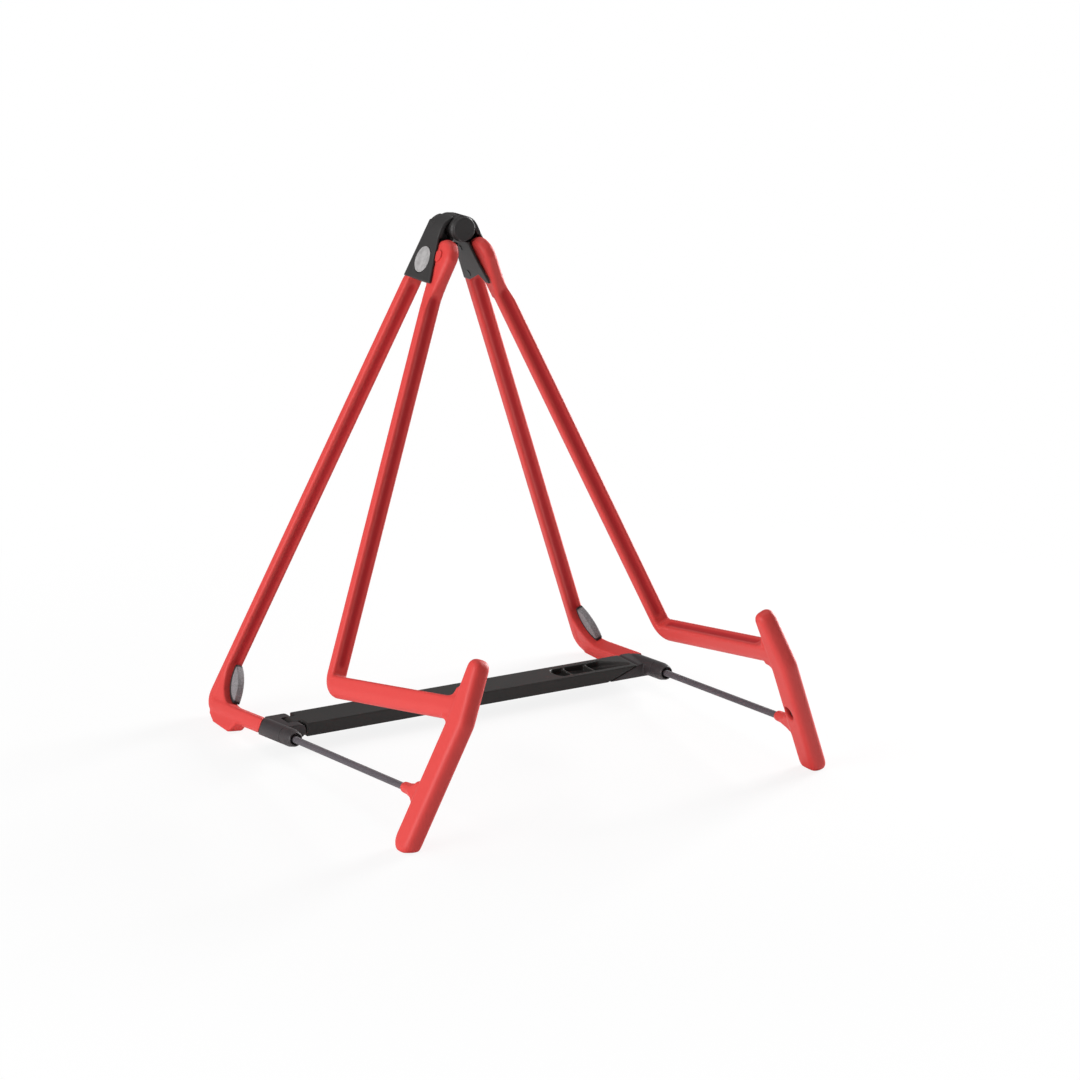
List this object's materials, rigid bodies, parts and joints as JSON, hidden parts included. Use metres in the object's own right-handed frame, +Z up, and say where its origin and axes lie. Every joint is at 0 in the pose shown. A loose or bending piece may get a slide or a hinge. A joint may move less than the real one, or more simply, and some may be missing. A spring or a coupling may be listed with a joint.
{
  "type": "folding guitar stand",
  "caption": "Folding A-frame stand for a guitar: hinged sides, front legs that fold in, arms and horns that cradle the body, and a cross bar between the feet.",
  "frame": {"origin": "on the floor, under the middle of the whole stand", "axes": "+Z up, the guitar comes from the front at -Y, +X is the right side seen from the front"},
  "size_m": [0.2446, 0.2496, 0.2724],
  "materials": {
    "leg_red": "satin moulded red plastic",
    "cap_black": "satin moulded black plastic",
    "fitting_black": "satin moulded black plastic",
    "bar_black": "satin moulded black plastic",
    "badge_grey": "plain light disc",
    "pad_rubber": "fine grained rubber",
    "steel": "plain steel",
    "cord_black": "braided synthetic cord"
  },
  "bodies": {
    "left_side": {"rear_leg_left": "leg_red", "apex_cap_left": "cap_black", "cap_cover_left": "cap_black", "cover_screw_upper_left": "steel", "cover_screw_lower_left": "steel", "front_pivot_pin_left": "steel", "pivot_washer_left": "steel", "badge_disc_left": "badge_grey", "corner_pad_left": "pad_rubber", "cord_anchor_left": "fitting_black", "cord_left": "cord_black", "cord_rear_knot_left": "cord_black", "foot_sleeve_left": "fitting_black", "apex_hinge_pin": "steel", "bar_hinge_pin": "steel"},
    "right_side": {"rear_leg_right": "leg_red", "apex_cap_right": "cap_black", "cap_cover_right": "cap_black", "cover_screw_upper_right": "steel", "cover_screw_lower_right": "steel", "front_pivot_pin_right": "steel", "pivot_washer_right": "steel", "badge_disc_right": "badge_grey", "corner_pad_right": "pad_rubber", "cord_anchor_right": "fitting_black", "cord_right": "cord_black", "cord_rear_knot_right": "cord_black", "foot_sleeve_right": "fitting_black"},
    "front_leg_left": {"front_leg_left": "leg_red", "cord_front_knot_left": "cord_black"},
    "front_leg_right": {"front_leg_right": "leg_red", "cord_front_knot_right": "cord_black"},
    "cross_bar": {"cross_bar": "bar_black"}
  },
  "joints": [
    {"name": "side_fold", "type": "hinge", "parent": "left_side", "child": "right_side", "pos_m": [0, 0.05834, 0.2654], "axis": [0, 1, 0], "range_deg": [0, 34]},
    {"name": "bar_fold", "type": "hinge", "parent": "left_side", "child": "cross_bar", "pos_m": [-0.10132, 0.05304, 0.0111], "axis": [0, -1, 0], "range_deg": [0, 67]},
    {"name": "front_leg_fold_left", "type": "hinge", "parent": "left_side", "child": "front_leg_left", "pos_m": [-0.01185, 0.04734, 0.2515], "axis": [0.9214, 0, -0.3886], "range_deg": [0, 20], "deforming": ["cord_left"]},
    {"name": "front_leg_fold_right", "type": "hinge", "parent": "right_side", "child": "front_leg_right", "pos_m": [0.01185, 0.04734, 0.2515], "axis": [0.9214, 0, 0.3886], "range_deg": [0, 20], "deforming": ["cord_right"]}
  ]
}
